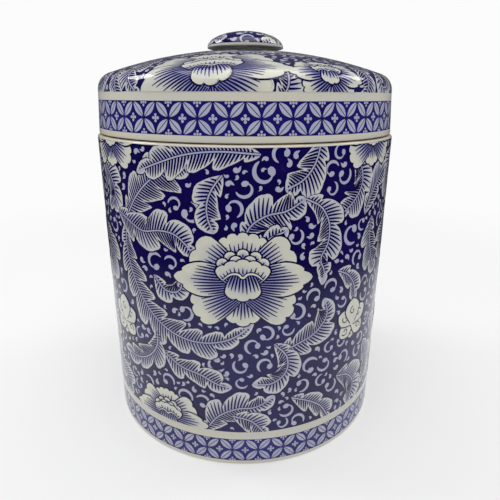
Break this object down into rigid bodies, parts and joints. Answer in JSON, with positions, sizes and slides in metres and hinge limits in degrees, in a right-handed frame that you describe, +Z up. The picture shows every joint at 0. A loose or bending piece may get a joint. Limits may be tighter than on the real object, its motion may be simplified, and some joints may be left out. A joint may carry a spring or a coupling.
{
  "type": "lidded porcelain canister",
  "caption": "Straight-sided cylindrical canister in glazed blue-and-white porcelain with a low domed lift-off lid and a button knob.",
  "frame": {"origin": "centre of the foot, on the surface the canister stands on", "axes": "+Z up along the canister's turning axis; -Y faces the front of the print"},
  "size_m": [0.152, 0.152, 0.2021],
  "materials": {
    "body_glaze": "glossy clear glaze over cobalt print on white porcelain",
    "lid_glaze": "glossy clear glaze over cobalt print on white porcelain",
    "knob_glaze": "glossy clear glaze over cobalt print on white porcelain"
  },
  "bodies": {
    "canister": {"canister_body": "body_glaze"},
    "lid": {"lid": "lid_glaze", "knob": "knob_glaze"}
  },
  "joints": [
    {"name": "lid_lift", "type": "slide", "parent": "canister", "child": "lid", "axis": [0, 0, 1], "range_m": [0, 0.12]}
  ]
}
